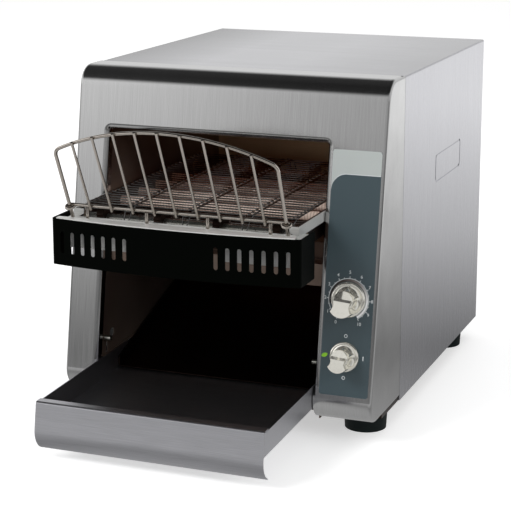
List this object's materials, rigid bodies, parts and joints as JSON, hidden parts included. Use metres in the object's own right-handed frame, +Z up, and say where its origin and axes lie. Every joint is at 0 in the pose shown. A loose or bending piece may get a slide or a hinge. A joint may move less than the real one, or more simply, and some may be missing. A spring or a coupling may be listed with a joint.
{
  "type": "conveyor toaster",
  "caption": "Countertop conveyor toaster with a wire belt, leaning loading rack, slotted front guard, pull-out collection tray and rotary controls.",
  "frame": {"origin": "on the counter under the middle of the outer box, collection tray drawn out", "axes": "+X the operator's right, +Y towards the rear panel, +Z up; metres"},
  "size_m": [0.376, 0.6568, 0.4072],
  "materials": {
    "casing_steel": "brushed grain",
    "side_steel": "brushed grain",
    "guard_black": "matt",
    "tray_steel": "brushed grain",
    "inner_steel": "satin",
    "heated_steel": "heat tinted",
    "ledge_steel": "satin",
    "rack_wire": "bright",
    "belt_wire": "drawn wire",
    "foot_rubber": "matt",
    "knob_chrome": "polished",
    "label_film": "satin print",
    "quartz": "clear",
    "ceramic": "matt",
    "insulation": "felted",
    "zinc_steel": "zinc plated",
    "bronze": "sintered",
    "black_plastic": "matt",
    "motor_case": "cast",
    "board_green": "satin",
    "terminal_plastic": "matt"
  },
  "bodies": {
    "chassis": {"front_panel": "casing_steel", "left_side_panel": "side_steel", "right_side_panel": "side_steel", "top_cover": "casing_steel", "rear_panel": "casing_steel", "base_pan": "zinc_steel", "feet": "foot_rubber", "foot_bolts": "zinc_steel", "case_screws": "zinc_steel", "left_inner_wall": "inner_steel", "right_inner_wall": "inner_steel", "wall_studs": "inner_steel", "chamber_back": "heated_steel", "upper_reflector": "heated_steel", "insulation_pad": "insulation", "front_baffle": "inner_steel", "upper_quartz_tubes": "quartz", "lower_quartz_tubes": "quartz", "heater_caps": "ceramic", "left_conveyor_rail": "inner_steel", "right_conveyor_rail": "inner_steel", "rail_spacers": "inner_steel", "shaft_bushes": "bronze", "conveyor_belt": "belt_wire", "tray_runners": "inner_steel", "discharge_chute": "inner_steel", "chute_rest_rod": "zinc_steel", "crumb_runners": "inner_steel", "front_guard": "guard_black", "guard_ledge": "ledge_steel", "control_label": "label_film", "speed_control": "black_plastic", "mode_switch": "black_plastic", "drive_chain": "zinc_steel", "motor_bracket": "zinc_steel", "gearmotor": "motor_case", "fan_frame": "black_plastic", "fan_guard": "rack_wire", "cord_inlet": "black_plastic", "terminal_block": "terminal_plastic", "power_relay": "black_plastic", "speed_board": "board_green", "board_standoffs": "zinc_steel", "limit_thermostat": "zinc_steel"},
    "tray": {"tray_pan": "tray_steel", "tray_front": "tray_steel"},
    "crumbs": {"crumb_tray": "inner_steel"},
    "rack": {"loading_rack": "rack_wire"},
    "speed": {"speed_knob": "knob_chrome", "speed_spindle": "zinc_steel"},
    "mode": {"mode_knob": "knob_chrome", "mode_spindle": "zinc_steel"},
    "drive": {"drive_shaft": "zinc_steel", "drive_sprockets": "inner_steel", "chain_wheel": "zinc_steel"},
    "idler": {"idler_shaft": "zinc_steel", "idler_sprockets": "inner_steel"},
    "motor_output": {"motor_shaft": "zinc_steel", "motor_sprocket": "zinc_steel"},
    "fan": {"fan_rotor": "black_plastic"}
  },
  "joints": [
    {"name": "tray_slide", "type": "slide", "parent": "chassis", "child": "tray", "axis": [0, 0.9997, 0.0227], "range_m": [0, 0.152]},
    {"name": "crumb_slide", "type": "slide", "parent": "chassis", "child": "crumbs", "axis": [0, -1, 0], "range_m": [0, 0.24]},
    {"name": "rack_lift", "type": "slide", "parent": "chassis", "child": "rack", "axis": [0, 0, 1], "range_m": [0, 0.03]},
    {"name": "speed_turn", "type": "hinge", "parent": "chassis", "child": "speed", "pos_m": [0.1551, -0.15711, 0.1688], "axis": [0, -0.9872, 0.1595], "range_deg": [-150, 150]},
    {"name": "mode_turn", "type": "hinge", "parent": "chassis", "child": "mode", "pos_m": [0.1545, -0.16726, 0.106], "axis": [0, -0.9872, 0.1595], "continuous": true},
    {"name": "drive_spin", "type": "hinge", "parent": "chassis", "child": "drive", "pos_m": [-0.0135, 0.11285, 0.2478], "axis": [1, 0, 0], "continuous": true},
    {"name": "idler_spin", "type": "hinge", "parent": "chassis", "child": "idler", "pos_m": [-0.0135, -0.20215, 0.2478], "axis": [1, 0, 0], "continuous": true},
    {"name": "motor_spin", "type": "hinge", "parent": "chassis", "child": "motor_output", "pos_m": [0.13, 0.10285, 0.12], "axis": [1, 0, 0], "continuous": true},
    {"name": "fan_spin", "type": "hinge", "parent": "chassis", "child": "fan", "pos_m": [-0.0135, 0.29425, 0.24], "axis": [0, 1, 0], "continuous": true}
  ],
  "couplings": [
    {"joint": "idler_spin", "follows": "drive_spin", "ratio": 1},
    {"joint": "motor_spin", "follows": "drive_spin", "ratio": 2}
  ]
}
